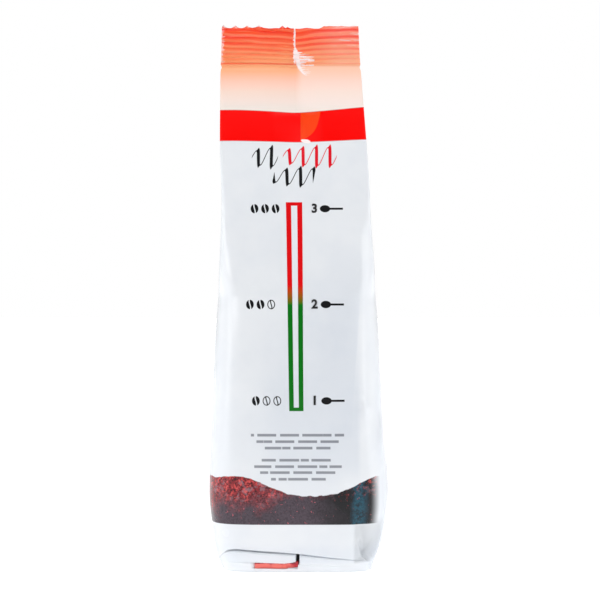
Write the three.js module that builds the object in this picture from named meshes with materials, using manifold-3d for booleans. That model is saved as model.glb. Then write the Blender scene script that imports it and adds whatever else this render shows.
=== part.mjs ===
// A filled coffee bag that stands on its folded base: one piece of laminated film, sealed flat
// across the top with a crimped seal, its two side panels folded in as gussets below that seal,
// and its foot folded under into two puffed lips with the base seal lying flat between them.
// Millimetres, +Z up. The printed panel of the photograph faces -Y. The origin is at the middle
// of the base.
import * as THREE from "three";
import { mergeVertices } from "three/addons/utils/BufferGeometryUtils.js";
import Module from "manifold-3d";

// Driving sizes.
const bagHeight = 236.8;
const bellyWidth = 77;
const bellyDepth = 86;
const sealHeight = 17.5;
const sealThickness = 1.2;

// The crimped seal and its saw-cut top edge.
const ridgeCount = 7;
const ridgeRise = 0.35;
const toothHeight = 1.1;
const toothWear = 0.35; // the teeth right of the middle are this much as high

// The folded foot. The fold line falls to the right and drops round the left corner.
const foldHeight = 8.15; // at the middle of the panel
const foldSlope = { left: 0.07, right: 0.11 };
const foldLowest = 3.2;
const foldCorner = { start: 23, drop: 0.004 };
const slotDepth = { left: 3.2, right: 1.2 }; // of the crease between a lip and the panel
const lipGap = { depth: 3.4, halfWidth: 1.3 };
const arch = { height: 1.5, halfWidth: 10 }; // the base is lifted off the table along its middle
const pinch = { x: 28.6, z: 11.5, halfWidth: 4.2, halfHeight: 8, depth: 1.9 }; // of the right corner

// The base seal, folded flat to the left under the left lip.
const baseSeal = { width: 18.2, length: 74.6, thickness: 2.6, lift: 1.75, rightEdge: -0.1 };

// The crease down the upper part of the panel, and the film's long seam down the back. Left and
// right are the widths of the two flat sides of the crease.
const crease = { depth: 2.3, left: 13, right: 8.5, start: 172, full: 194, startX: 3.4, endX: -1.55 };
const seam = { width: 11, rise: 0.5 };

// How finely the film is divided.
const columnsAcross = 24; // over the front or the back panel
const columnsDeep = 8; // over a side panel
const sealRows = 2 * ridgeCount;

const sealFoot = bagHeight - sealHeight;
const sealDepth = sealThickness / bellyDepth;

// The bag's section at a few heights. Width and depth are shares of the belly's. Squareness is the
// power of the superellipse: 4 is soft, 24 has sharp corners. Gusset is how far the side panels
// are folded in, as a share of half the width, and lean is how far the section stands to the
// right, in millimetres.
const sections = [
  { height: 0, width: 0.84, depth: 0.8, squareness: 5, gusset: 0, lean: 0 },
  { height: 2.4, width: 0.86, depth: 0.85, squareness: 5, gusset: 0, lean: -0.4 },
  { height: 7.3, width: 0.905, depth: 0.905, squareness: 5, gusset: 0, lean: -0.3 },
  { height: 14, width: 0.947, depth: 0.94, squareness: 5, gusset: 0, lean: 0.2 },
  { height: 33, width: 1, depth: 0.985, squareness: 5, gusset: 0, lean: 0.4 },
  { height: 52, width: 0.98, depth: 1, squareness: 5, gusset: 0, lean: 0 },
  { height: 94, width: 0.925, depth: 0.955, squareness: 5, gusset: 0, lean: -0.3 },
  { height: 116, width: 0.9, depth: 0.89, squareness: 5.4, gusset: 0.02, lean: -0.4 },
  { height: 136, width: 0.893, depth: 0.79, squareness: 6, gusset: 0.07, lean: -0.5 },
  { height: 158, width: 0.886, depth: 0.63, squareness: 8, gusset: 0.22, lean: -0.9 },
  { height: 184, width: 0.875, depth: 0.39, squareness: 12, gusset: 0.5, lean: -2.1 },
  { height: 204, width: 0.836, depth: 0.18, squareness: 20, gusset: 0.72, lean: -2.7 },
  { height: sealFoot - 3, width: 0.825, depth: 0.045, squareness: 24, gusset: 0.78, lean: -3.1 },
  { height: sealFoot, width: 0.8, depth: sealDepth, squareness: 24, gusset: 0, lean: -3.2 },
  { height: bagHeight, width: 0.782, depth: sealDepth, squareness: 24, gusset: 0, lean: -3.4 },
];

// How fast a figure changes with height at section k, kept level at its highs and lows.
function sectionSlope(name, k) {
  const rise = (i) => {
    const from = sections[i];
    const to = sections[i + 1];
    return (to[name] - from[name]) / (to.height - from.height);
  };
  if (k === 0) return rise(0);
  if (k === sections.length - 1) return rise(k - 1);
  const product = rise(k - 1) * rise(k);
  return product > 0 ? (2 * product) / (rise(k - 1) + rise(k)) : 0;
}

// The value of one of the sections' figures at a height, on a smooth curve through them.
function sectionValue(name, height) {
  let k = 0;
  while (k < sections.length - 2 && height > sections[k + 1].height) k += 1;
  const from = sections[k];
  const to = sections[k + 1];
  const span = to.height - from.height;
  const t = (height - from.height) / span;
  const level = from[name] + (to[name] - from[name]) * t * t * (3 - 2 * t);
  const bend = (1 - t) * sectionSlope(name, k) - t * sectionSlope(name, k + 1);
  return level + span * t * (1 - t) * bend;
}

// The rows of the film, from the underside up. In the foot a row follows the fold, at a share of
// its height, and tuck is how far it goes in under the panel. Above that a row is level.
const lipTop = 1.03;
const footRows = [
  { fold: 0 },
  { fold: 0.07 },
  { fold: 0.26 },
  { fold: 0.55 },
  { fold: 0.84, tuck: 0.1 },
  { fold: 0.95, tuck: 1 },
  { fold: lipTop, tuck: 1 },
  { fold: 1.1 },
  { fold: 1.28 },
];
const bodyLevels = [
  14.5, 20, 27, 34, 43, 53, 64, 75, 86, 97, 108, 119, 129, 139, 149, 158, 167, 176, 184, 191, 198,
  204, 210, sealFoot - 3,
];
const bodyRows = bodyLevels.map((level) => ({ level }));
const crimpRows = Array.from({ length: sealRows + 1 }, (_, k) => ({
  level: k === sealRows ? bagHeight : sealFoot + (sealHeight * k) / sealRows,
  crimp: k === 0 ? 0 : ridgeRise * (k % 2 ? 1 : -1),
}));
const rows = [...footRows, ...bodyRows, ...crimpRows];

// How far out a point of the square u, v stands when the square's corners are rounded off.
function roundedShare(u, v, power) {
  const norm = (Math.abs(u) ** power + Math.abs(v) ** power) ** (1 / power);
  return norm > 0 ? Math.max(Math.abs(u), Math.abs(v)) / norm : 0;
}

// The height of the fold above the base, round the bag.
function foldLine(u, v) {
  const halfWidth = (sectionValue("width", foldHeight) * bellyWidth) / 2;
  const x = halfWidth * u * roundedShare(u, v, sectionValue("squareness", foldHeight));
  const slope = x < 0 ? foldSlope.left : foldSlope.right;
  const drop = foldCorner.drop * Math.max(0, -x - foldCorner.start) ** 3;
  return Math.max(foldLowest, foldHeight - slope * x - drop);
}

// A height that is 1 at the middle and falls straight to 0 at the half width.
function tent(distance, halfWidth) {
  return Math.max(0, 1 - Math.abs(distance) / halfWidth);
}

// The place of a point of the film. u runs from -1 at the left to 1 at the right and v from -1 at
// the front to 1 at the back, both on the edge of a square or, in the two ends, inside it.
function place(u, v, row) {
  const isEnd = Math.max(Math.abs(u), Math.abs(v)) < 1;
  const height = row.level ?? row.fold * foldLine(u, v);
  const corner = roundedShare(u, v, sectionValue("squareness", height));
  let x = ((sectionValue("width", height) * bellyWidth) / 2) * u * corner;
  let y = ((sectionValue("depth", height) * bellyDepth) / 2) * v * corner;
  let z = height;

  if (Math.abs(u) === 1) x *= 1 - sectionValue("gusset", height) * (1 - Math.abs(v));
  x += sectionValue("lean", height);

  const panel = 1 - Math.abs(u) ** 8; // 1 over the front and back panels, 0 at their edges
  const slot = (row.tuck ?? 0) * THREE.MathUtils.mapLinear(u, -1, 1, slotDepth.left, slotDepth.right);
  const isLip = row.fold <= lipTop && !isEnd;
  const gap = isLip ? lipGap.depth * Math.exp(-((x / lipGap.halfWidth) ** 2)) : 0;
  y -= Math.sign(v) * Math.max(slot, gap) * panel;
  const pinched = ((x - pinch.x) / pinch.halfWidth) ** 2 + ((z - pinch.z) / pinch.halfHeight) ** 2;
  if (v < 0 && !isEnd) y += pinch.depth * Math.exp(-pinched);

  const isSeal = height >= sealFoot;
  const creased = THREE.MathUtils.smoothstep(height, crease.start, crease.full);
  const creaseX = THREE.MathUtils.mapLinear(height, crease.start, bagHeight, crease.startX, crease.endX);
  const creaseSide = x < creaseX ? crease.left : crease.right;
  if (v < 0 || isSeal) y += crease.depth * creased * panel * tent(x - creaseX, creaseSide);
  if (v === 1 && Math.abs(x) < seam.width / 2 && !isSeal) y += seam.rise;
  y += row.crimp ?? 0;

  if (row.fold === 0) z = arch.height * tent(x, arch.halfWidth) ** 1.5;
  const tooth = Math.round(((u + 1) / 2) * columnsAcross) % 2;
  if (height === bagHeight) z -= tooth * toothHeight * (u < 0 ? 1 : toothWear);
  return [x, y, z];
}

// The film as a closed box whose rows and columns are moved to their places on the bag.
function filmGeometry() {
  const rowCount = rows.length - 1;
  const geometry = new THREE.BoxGeometry(2, 2, 2, columnsAcross, columnsDeep, rowCount);
  const position = geometry.getAttribute("position");
  for (let i = 0; i < position.count; i += 1) {
    const row = rows[Math.round(((position.getZ(i) + 1) / 2) * rowCount)];
    position.setXYZ(i, ...place(position.getX(i), position.getY(i), row));
  }
  return geometry;
}

// The flat strip of the base seal, whose ends show under the left lip.
function baseSealGeometry() {
  const { width, length, thickness, lift, rightEdge } = baseSeal;
  const geometry = new THREE.BoxGeometry(width, length, thickness);
  return geometry.translate(rightEdge - width / 2, 0, lift + thickness / 2);
}

const wasm = await Module();
wasm.setup();

function solidOf(geometry) {
  geometry.deleteAttribute("normal");
  geometry.deleteAttribute("uv");
  const merged = mergeVertices(geometry, 1e-4);
  const vertProperties = merged.getAttribute("position").array;
  const triVerts = new Uint32Array(merged.index.array);
  return new wasm.Manifold(new wasm.Mesh({ numProp: 3, vertProperties, triVerts }));
}

function geometryOf(solid) {
  const mesh = solid.getMesh();
  const geometry = new THREE.BufferGeometry();
  geometry.setAttribute("position", new THREE.BufferAttribute(mesh.vertProperties, 3));
  geometry.setIndex(new THREE.BufferAttribute(mesh.triVerts, 1));
  return geometry;
}

// The whole bag, with the middle of its base at the origin.
function coffeeBag() {
  const geometry = geometryOf(solidOf(filmGeometry()).add(solidOf(baseSealGeometry())));
  geometry.computeBoundingBox();
  const { min, max } = geometry.boundingBox;
  geometry.translate(-(min.x + max.x) / 2, -(min.y + max.y) / 2, -min.z);
  geometry.computeVertexNormals();
  const film = new THREE.MeshStandardMaterial({ color: 0xe8eaee, roughness: 0.35, metalness: 0 });
  const mesh = new THREE.Mesh(geometry, film);
  mesh.name = "coffee_bag";
  return mesh;
}

const bag = new THREE.Group();
bag.add(coffeeBag());

export default bag;
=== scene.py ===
"""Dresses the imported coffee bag: its printed film, the floor that it stands on, soft studio light
and a camera level with its middle. Metres, +Z up, the printed panel towards -Y."""

import math

import bmesh
import bpy
from bpy.props import FloatProperty, FloatVectorProperty, IntProperty, PointerProperty
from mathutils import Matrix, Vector, noise


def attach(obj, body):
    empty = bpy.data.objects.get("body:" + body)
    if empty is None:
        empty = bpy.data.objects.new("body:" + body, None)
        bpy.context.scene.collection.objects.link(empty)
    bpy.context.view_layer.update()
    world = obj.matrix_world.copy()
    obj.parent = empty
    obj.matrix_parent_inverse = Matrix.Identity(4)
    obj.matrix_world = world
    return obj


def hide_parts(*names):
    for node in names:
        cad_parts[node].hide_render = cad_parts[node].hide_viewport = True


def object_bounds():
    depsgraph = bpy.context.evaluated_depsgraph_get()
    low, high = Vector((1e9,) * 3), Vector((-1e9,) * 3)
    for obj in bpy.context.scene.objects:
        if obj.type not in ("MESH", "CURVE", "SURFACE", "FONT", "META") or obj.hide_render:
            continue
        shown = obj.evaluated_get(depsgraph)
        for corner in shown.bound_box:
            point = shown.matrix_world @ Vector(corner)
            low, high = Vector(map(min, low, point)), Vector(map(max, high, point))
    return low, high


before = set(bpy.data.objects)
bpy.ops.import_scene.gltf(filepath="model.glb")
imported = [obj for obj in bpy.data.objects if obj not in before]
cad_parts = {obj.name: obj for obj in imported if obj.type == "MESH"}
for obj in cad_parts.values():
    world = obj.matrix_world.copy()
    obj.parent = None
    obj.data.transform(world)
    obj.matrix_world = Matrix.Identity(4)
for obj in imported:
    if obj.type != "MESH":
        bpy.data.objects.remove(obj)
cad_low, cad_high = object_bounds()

bl_info = {
    "name": "Coffee bag looks",
    "version": (1, 0, 0),
    "blender": (4, 5, 0),
    "location": "View3D > Sidebar > Coffee bag",
    "description": "Builds the printed film of a filled coffee bag around its solid",
    "category": "Object",
}

MM = 0.001
BAG_NODE = "coffee_bag"
CAD_SIZE = (cad_high - cad_low) / MM
BAG_HEIGHT = CAD_SIZE.z
BELLY_WIDTH = CAD_SIZE.x
SEAM = {"width": 11.0, "rise": 0.5}
BELLY_DEPTH = CAD_SIZE.y - SEAM["rise"]


def srgb(red, green, blue):
    """A colour given as it shows on a screen, 0 to 255, as linear numbers."""
    shares = (channel / 255 for channel in (red, green, blue))
    return tuple(s / 12.92 if s <= 0.04045 else ((s + 0.055) / 1.055) ** 2.4 for s in shares)


def smoothstep(value, low, high):
    """0 below low, 1 above high, and a smooth rise between them."""
    t = min(max((value - low) / (high - low), 0.0), 1.0)
    return t * t * (3 - 2 * t)


def between(value, low, high, at_low, at_high):
    """at_low at low, at_high at high, and a straight line between them."""
    t = min(max((value - low) / (high - low), 0.0), 1.0)
    return at_low + (at_high - at_low) * t


def tent(distance, half_width):
    """1 at no distance, and falls straight to 0 at the half width."""
    return max(0.0, 1 - abs(distance) / half_width)


# The user's settings.


class BagSizes(bpy.types.PropertyGroup):
    """Sizes of the bag's film, in millimetres."""

    ridge_count: IntProperty(
        name="Ridges", description="How many crimps the top seal has", default=7, min=3, max=15
    )
    ridge_rise: FloatProperty(
        name="Ridge rise", description="How far a crimp stands out, mm", default=0.38,
        min=0, max=0.8,
    )
    tooth_pitch: FloatProperty(
        name="Tooth pitch", description="Distance between the cut edge's teeth, mm", default=5.2
    )
    tooth_height: FloatProperty(
        name="Tooth height", description="Depth of the saw-cut edge, mm", default=1.25, min=0, max=3
    )
    crease_depth: FloatProperty(
        name="Crease depth", description="Depth of the crease in the upper half, mm", default=2.3,
        min=0, max=5,
    )
    dent_depth: FloatProperty(
        name="Dents", description="How uneven the filled panels are, mm", default=0.8, min=0, max=2
    )


class BagColours(bpy.types.PropertyGroup):
    """Colours of the bag's print."""

    film: FloatVectorProperty(
        name="Film", description="Ground colour of the film", subtype="COLOR", size=3,
        default=srgb(231, 234, 238), min=0, max=1,
    )
    band: FloatVectorProperty(
        name="Band", description="The red band below the fade", subtype="COLOR", size=3,
        default=srgb(254, 2, 0), min=0, max=1,
    )
    ink: FloatVectorProperty(
        name="Ink", description="The marks and numbers", subtype="COLOR", size=3,
        default=srgb(26, 26, 28), min=0, max=1,
    )
    strong: FloatVectorProperty(
        name="Strong", description="The top of the scale", subtype="COLOR", size=3,
        default=srgb(222, 14, 20), min=0, max=1,
    )
    mild: FloatVectorProperty(
        name="Mild", description="The foot of the scale", subtype="COLOR", size=3,
        default=srgb(10, 112, 22), min=0, max=1,
    )


# The form of the film.


SEAL = {"height": 17.5, "thickness": 0.7}
SEAL_FOOT = BAG_HEIGHT - SEAL["height"]
SEAL_DEPTH = SEAL["thickness"] / BELLY_DEPTH

# The bag's section at a few heights in millimetres: the share of the belly's width and depth, how
# square it is, how far the side panels are folded in, and how far it stands to the right.
SECTION_NAMES = ("height", "width", "depth", "squareness", "gusset", "lean")
SECTIONS = [
    dict(zip(SECTION_NAMES, row))
    for row in (
        (0, 0.84, 0.8, 5, 0, 0),
        (2.4, 0.86, 0.85, 5, 0, -0.4),
        (7.3, 0.905, 0.905, 5, 0, -0.3),
        (14, 0.947, 0.94, 5, 0, 0.2),
        (33, 1, 0.985, 5, 0, 0.4),
        (52, 0.98, 1, 5, 0, 0),
        (94, 0.925, 0.955, 5, 0, -0.3),
        (116, 0.9, 0.89, 5.4, 0.02, -0.4),
        (136, 0.88, 0.79, 14, 0.07, -0.5),
        (158, 0.857, 0.63, 18, 0.22, -0.7),
        (184, 0.847, 0.39, 22, 0.5, -1.9),
        (204, 0.836, 0.18, 20, 0.72, -2.7),
        (SEAL_FOOT - 3, 0.825, 0.045, 24, 0.78, -3.1),
        (SEAL_FOOT, 0.8, SEAL_DEPTH, 24, 0, -3.2),
        (BAG_HEIGHT, 0.782, SEAL_DEPTH, 24, 0, -3.4),
    )
]


def section_slope(name, k):
    """How fast a figure changes with height at section k, kept level at its highs and lows."""

    def rise(i):
        low, high = SECTIONS[i], SECTIONS[i + 1]
        return (high[name] - low[name]) / (high["height"] - low["height"])

    if k == 0:
        return rise(0)
    if k == len(SECTIONS) - 1:
        return rise(k - 1)
    product = rise(k - 1) * rise(k)
    return 2 * product / (rise(k - 1) + rise(k)) if product > 0 else 0.0


def section_value(name, height):
    """One of the sections' figures at a height, on a smooth curve through them."""
    k = 0
    while k < len(SECTIONS) - 2 and height > SECTIONS[k + 1]["height"]:
        k += 1
    low, high = SECTIONS[k], SECTIONS[k + 1]
    span = high["height"] - low["height"]
    t = (height - low["height"]) / span
    level = low[name] + (high[name] - low[name]) * t * t * (3 - 2 * t)
    bend = (1 - t) * section_slope(name, k) - t * section_slope(name, k + 1)
    return level + span * t * (1 - t) * bend


# The fold line above the two lips, which falls to the right and drops round the left corner.
FOLD = {"height": 8.15, "left": 0.07, "right": 0.11, "lowest": 3.2, "corner": 23.0, "drop": 0.004}
# The base is lifted off the floor along its middle.
ARCH = {"height": 1.5, "half_width": 10.0}
# The crease down the upper half: how wide its two flat sides are, the heights over which it
# deepens, and the line that it follows, as heights and places across.
CREASE = {"left": 13.0, "right": 8.5, "start": 172.0, "full": 194.0}
CREASE_LINE = ((172.0, 3.4), (196.0, 2.2), (200.0, -0.9), (217.0, -1.3), (BAG_HEIGHT, -1.55))

# The side view of the foot: a share of the fold's height, and how far the film goes in there, on
# the left, where the lip is puffed, and on the right, where it is flat.
FOOT_PROFILE = (
    (0.0, 0.9, 0.9),
    (0.05, 0.3, 0.3),
    (0.12, 0.0, 0.05),
    (0.18, 0.0, 0.0),
    (0.21, 0.05, 0.0),
    (0.42, 0.3, 0.0),
    (0.465, 0.7, 0.0),
    (0.49, 0.6, 0.0),
    (0.55, 0.0, 0.0),
    (0.75, -0.6, -0.1),
    (0.9, -0.05, 0.05),
    (0.955, 0.75, 0.1),
    (0.985, 2.7, 0.3),
    (1.015, 2.7, 0.3),
    (1.04, 0.75, 0.12),
    (1.1, 0.1, 0.05),
    (1.2, 0.0, 0.0),
)
# The slot above the two lips ends at this share of the fold's height.
SLOT_TOP = 1.02
# The dark gap where the two lips meet, the pocket in the left lip where the end of the base seal
# shows, and the base seal itself. Pocket and seal turn up right of the start.
LIP_GAP = {"depth": 6.5, "half_width": 0.58, "foot": 0.4, "full": 0.62}
POCKET = {"left": -18.5, "right": 0.1, "foot": 0.2, "top": 0.475, "depth": 1.6, "turn_up": 0.1}
BASE_SEAL = {"left": -18.7, "right": -0.3, "foot": 1.7, "top": 4.4, "inset": 0.5, "turn_up": 0.7}
TURN_UP_START = -6.0
# The pinch at the right end of the foot: a hollow, the sides that rise from its deepest point, each
# as a direction across and up and how far it reaches, a sharp crease beside it, and its painted
# shades, each with the nearness over which it comes in.
PINCH = {"x": 30.2, "z": 9.6, "depth": 3.6, "power": 1.25}
PINCH_SIDES = ((-1.0, 0.0, 7.0), (0.25, 1.0, 19.0), (1.0, -0.15, 9.0), (0.1, -1.0, 5.4))
PINCH_CREASE = {"top": (26.4, 13.5), "foot": (30.2, 5.6), "half_width": 1.3, "depth": 1.3}
PINCH_SHADES = ((0.27, 0.0, 0.22), (0.12, 0.6, 0.95))
# The flats beside the front panel, where the filled film turns to the sides: on the right, 1, or
# left, how far from the middle they start, their lean, slope, foot and top. One has a small bulge.
FLATS = (
    (1, 9.0, 0.0, 0.05, 58.0, 152.0),
    (1, 30.0, -0.022, 0.26, 64.0, 146.0),
    (-1, 27.8, 0.0, 0.14, 86.0, 139.0),
    (-1, 22.5, 0.0, 0.05, 34.0, 84.0),
)
BULGE = {"x": 28.8, "z": 70.0, "half_width": 2.6, "half_height": 3.8, "rise": 1.7}
# The crimps of the seal: how far beside the crease and how much they dip towards it, the terms of
# the curve that counts them over the seal's height, and how unlike each other they are.
CRIMP = {
    "dip_left": 31.0, "dip_right": 16.0, "dip": (0.02, 0.12), "turns": (0.034, 1.286, -0.307),
    "waver": 0.012, "unlike": 1.3, "sharpness": 0.35, "fine": 0.3,
}
# Where the crimps are weaker: how much, the place's middle and half width, and the share of the
# seal's height over which they recover.
WEAK_CRIMPS = ((0.8, -5.05, 4.5, 0.5, 0.75), (0.45, -16.0, 15.0, 0.1, 0.6))
# The saw-cut edge: where a tooth is missing, where the cut is straight, and where the low teeth of
# the right side begin.
TEETH = {"missing": (-14.5, -9.0), "straight": (-4.5, 11.0), "low": (8.0, 12.0)}
# The unevenness of the filled film: its size in millimetres, how much it is drawn out in height,
# its share of the whole, and where its noise is read.
DENTS = ((34.0, 0.6, 1.0, (3.1, 7.7, 1.9)), (13.0, 0.5, 0.3, (9.4, 2.2, 5.3)))
# A side panel's fold is soft where it begins and sharp further up.
GUSSET_FOLD = {"foot": 116.0, "top": 170.0, "soft": 2.2, "sharp": 1.05}

FOOT_ROWS_PER_STEP = 3
# Above the foot the rows settle from the slope of the fold to this level.
SETTLE_ROWS = 22
SETTLE_LEVEL = 26.0
# The body's rows in millimetres: where they end, and how far apart they are.
BODY_STEPS = ((176.0, 1.5), (SEAL_FOOT, 0.8))
SEAL_ROWS = 92
COLUMNS_ACROSS = 84
COLUMNS_DEEP = 36
# A u or v beyond this is on the edge of the square from -1 to 1.
EDGE = 0.9999


def rounded_share(u, v, power):
    """How far out a point of the square u, v stands when the square's corners are rounded off."""
    norm = (abs(u) ** power + abs(v) ** power) ** (1 / power)
    return max(abs(u), abs(v)) / norm if norm > 0 else 0.0


def fold_line(u, v):
    """The height of the fold above the base, round the bag."""
    power = section_value("squareness", FOLD["height"])
    half_width = section_value("width", FOLD["height"]) * BELLY_WIDTH / 2
    x = half_width * u * rounded_share(u, v, power)
    slope = FOLD["left"] if x < 0 else FOLD["right"]
    drop = FOLD["drop"] * max(0.0, -x - FOLD["corner"]) ** 3
    return max(FOLD["lowest"], FOLD["height"] - slope * x - drop)


def film_rows():
    """The rows of the film from the underside up, each as its zone and its place in that zone."""
    rows = []
    for start, end in zip(FOOT_PROFILE, FOOT_PROFILE[1:]):
        for k in range(FOOT_ROWS_PER_STEP):
            t = k / FOOT_ROWS_PER_STEP
            rows.append(("foot", tuple(a + (b - a) * t for a, b in zip(start, end))))
    rows.append(("foot", FOOT_PROFILE[-1]))
    rows += [("settle", (k + 1) / SETTLE_ROWS) for k in range(SETTLE_ROWS)]
    level = SETTLE_LEVEL
    for top, step in BODY_STEPS:
        count = round((top - level) / step)
        rows += [("level", level + (top - level) * (k + 1) / count) for k in range(count)]
        level = top
    rows += [("seal", (k + 1) / SEAL_ROWS) for k in range(SEAL_ROWS)]
    return rows


def row_height(row, u, v):
    """The height of a row at a place round the bag."""
    zone, place = row
    if zone == "foot":
        return place[0] * fold_line(u, v)
    if zone == "settle":
        return between(place, 0, 1, FOOT_PROFILE[-1][0] * fold_line(u, v), SETTLE_LEVEL)
    if zone == "level":
        return place
    return SEAL_FOOT + place * (BAG_HEIGHT - SEAL_FOOT)


def crease_depth(x, height, sizes):
    """How far the panel is pushed in beside its crease: a sharp valley with two flat sides."""
    line = CREASE_LINE[0][1]
    for (low, low_x), (high, high_x) in zip(CREASE_LINE, CREASE_LINE[1:]):
        if height > low:
            line = between(height, low, high, low_x, high_x)
    side = CREASE["left"] if x < line else CREASE["right"]
    fullness = smoothstep(height, CREASE["start"], CREASE["full"])
    return sizes.crease_depth * fullness * tent(x - line, side)


def crimp_turns(x, share, ridge_count):
    """How many crimps lie below a place of the seal. They dip towards the crease in the middle and
    lie closer together at the foot."""
    from_crease = x - CREASE_LINE[-1][1]
    reach = CRIMP["dip_left"] if from_crease < 0 else CRIMP["dip_right"]
    dip = tent(from_crease, reach) * between(share, 0, 1, *CRIMP["dip"])
    height = share + dip + CRIMP["waver"] * math.sin(x * 0.42 + 1.3) * share
    start, pace, change = CRIMP["turns"]
    return ridge_count * (start + pace * height + change * height * height)


def crimp_wave(x, share, sizes):
    """The seal's ridges, from about -1.3 in a valley to 0.7 on a crest, no two of them alike."""
    turns = crimp_turns(x, share, sizes.ridge_count)
    strength = 1 + CRIMP["unlike"] * noise.noise(Vector((x / 14, turns * 0.9, 4.2)))
    strength *= between(x, -2, 8, 1, 0.7)
    for loss, middle, half_width, low, high in WEAK_CRIMPS:
        strength *= 1 - loss * tent(x - middle, half_width) * (1 - smoothstep(share, low, high))
    wave = math.cos(2 * math.pi * turns)
    wave -= CRIMP["sharpness"] * wave * wave
    fine = CRIMP["fine"] * math.cos(4 * math.pi * turns + 0.8) * (1 - smoothstep(x, -4, 10))
    return (wave * strength + fine) * smoothstep(share, 0, 0.03)


def in_band(value, low, high, soft):
    """1 between low and high and 0 outside them, with soft ends."""
    past_high = smoothstep(value, high - soft, high + soft)
    return smoothstep(value, low - soft, low + soft) * (1 - past_high)


def pocket_depth(x, share):
    """How far the left lip opens round the end of the base seal."""
    turn_up = POCKET["turn_up"] * smoothstep(x, TURN_UP_START, 0)
    across = in_band(x, POCKET["left"], POCKET["right"], 0.2)
    up = in_band(share, POCKET["foot"] + turn_up / 2, POCKET["top"] + turn_up, 0.01)
    return POCKET["depth"] * across * up


def gap_depth(x, share):
    """How deep the gap between the two lips is, at a share of the fold's height."""
    if share > SLOT_TOP:
        return 0.0
    fullness = smoothstep(share, LIP_GAP["foot"], LIP_GAP["full"])
    return LIP_GAP["depth"] * fullness * math.exp(-((x / LIP_GAP["half_width"]) ** 2))


def pinch_nearness(x, z):
    """1 at the deepest point of the pinch, and 0 outside its sides."""
    away = Vector((x - PINCH["x"], z - PINCH["z"]))
    return max(0.0, min(1 - away.dot((across, up)) / reach for across, up, reach in PINCH_SIDES))


def pinch_depth(x, z):
    """How far the corner at the right end of the foot is pinched in."""
    hollow = pinch_nearness(x, z) ** PINCH["power"]
    top, foot = Vector(PINCH_CREASE["top"]), Vector(PINCH_CREASE["foot"])
    along = (Vector((x, z)) - foot).dot(top - foot) / (top - foot).length_squared
    nearest = foot + (top - foot) * min(max(along, 0.0), 1.0)
    crease = tent((Vector((x, z)) - nearest).length, PINCH_CREASE["half_width"])
    return PINCH["depth"] * hollow + PINCH_CREASE["depth"] * crease


def flat_depth(x, z):
    """How far the film beside the front panel lies behind the panel's own curve."""
    depth = 0.0
    for side, start, lean, slope, foot, top in FLATS:
        edge = start + lean * z + 0.5 * noise.noise(Vector((z / 11, side, 6.1)))
        depth += max(0.0, x * side - edge) * slope * in_band(z, foot, top, 4)
    across = (x - BULGE["x"]) / BULGE["half_width"]
    up = (z - BULGE["z"]) / BULGE["half_height"]
    return depth - BULGE["rise"] * math.exp(-(across**2 + up**2))


def tooth_drop(x, sizes):
    """How far the saw-cut edge lies under the bag's top: sharp teeth at the left, none in the
    middle, where the cut is straight, and low ones at the right."""
    phase = (x / sizes.tooth_pitch + 0.3) % 1
    valley = min(1.0, 2 * (1 - abs(2 * phase - 1)))
    valley = max(valley, in_band(x, *TEETH["missing"], 0.5))
    uneven = 1 + 0.35 * noise.noise(Vector((x / 4, 0.5, 2.7)))
    straight = in_band(x, *TEETH["straight"], 1.5)
    at_right = smoothstep(x, *TEETH["low"])
    saw = valley * between(at_right, 0, 1, 1, 0.15) + 0.25 * at_right
    return sizes.tooth_height * uneven * max(saw * (1 - straight), straight)


def dents(x, y, z, sizes):
    """How uneven the filled film is, outwards."""
    uneven = 0.0
    for size, drawn_out, share, start in DENTS:
        place = Vector((x, y, z * drawn_out)) / size + Vector(start)
        uneven += share * noise.noise(place)
    amount = smoothstep(z, 12, 40) * (1 - smoothstep(z, 200, SEAL_FOOT))
    return sizes.dent_depth * amount * uneven


def section_point(u, v, height):
    """The place of a point on the bag's section at a height, with the side panels folded in, and
    the direction out of the film there."""
    power = section_value("squareness", height)
    corner = rounded_share(u, v, power)
    half_width = section_value("width", height) * BELLY_WIDTH / 2
    half_depth = section_value("depth", height) * BELLY_DEPTH / 2
    x = half_width * u * corner
    y = half_depth * v * corner
    out = Vector((abs(x / half_width) ** (power - 1), abs(y / half_depth) ** (power - 1)))
    out.normalize()
    out = Vector((math.copysign(out.x, x), math.copysign(out.y, y)))
    if abs(u) > EDGE:
        low, high = GUSSET_FOLD["foot"], GUSSET_FOLD["top"]
        sharpness = between(height, low, high, GUSSET_FOLD["soft"], GUSSET_FOLD["sharp"])
        x *= 1 - section_value("gusset", height) * (1 - abs(v) ** sharpness)
    return x, y, out


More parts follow.
